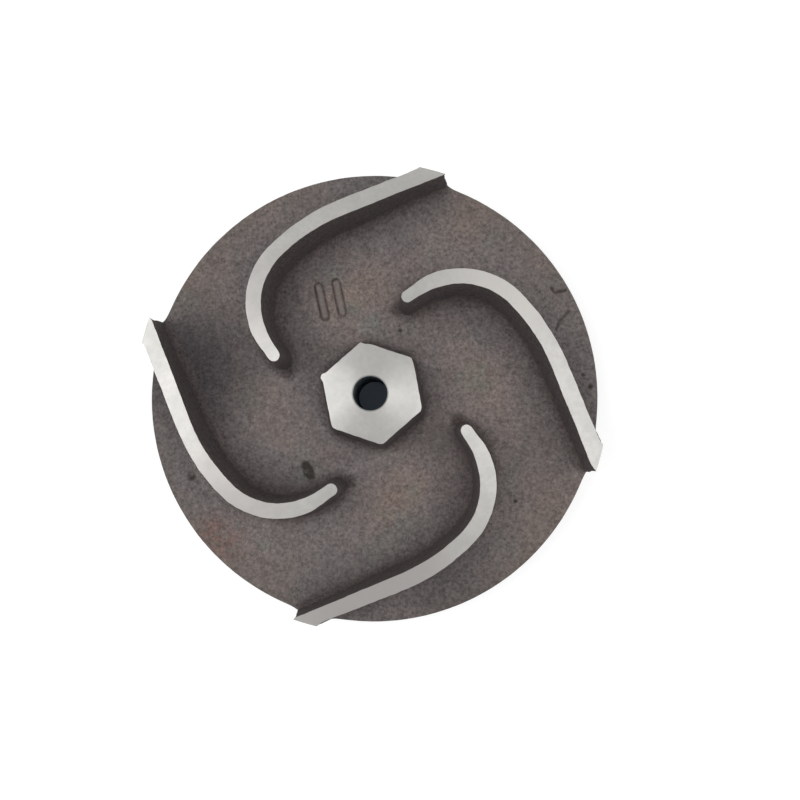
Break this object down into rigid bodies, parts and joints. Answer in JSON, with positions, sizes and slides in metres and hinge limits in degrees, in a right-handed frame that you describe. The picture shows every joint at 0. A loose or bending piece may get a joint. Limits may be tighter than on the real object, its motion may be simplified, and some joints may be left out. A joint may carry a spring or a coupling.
{
  "type": "pump impeller",
  "caption": "Semi-open centrifugal pump impeller: round back shroud with backward-curved hooked vanes, a hexagonal hub and a threaded bore.",
  "frame": {"origin": "middle of the rear hub face, on the bore axis", "axes": "+Z along the bore axis, from the back of the shroud towards the vanes and the hexagonal hub"},
  "size_m": [0.14, 0.14, 0.031],
  "materials": {
    "cast_iron": "as-cast skin, turned on the vane tops, hub faces, back and rim"
  },
  "bodies": {
    "root": {"impeller": "cast_iron"}
  },
  "joints": []
}
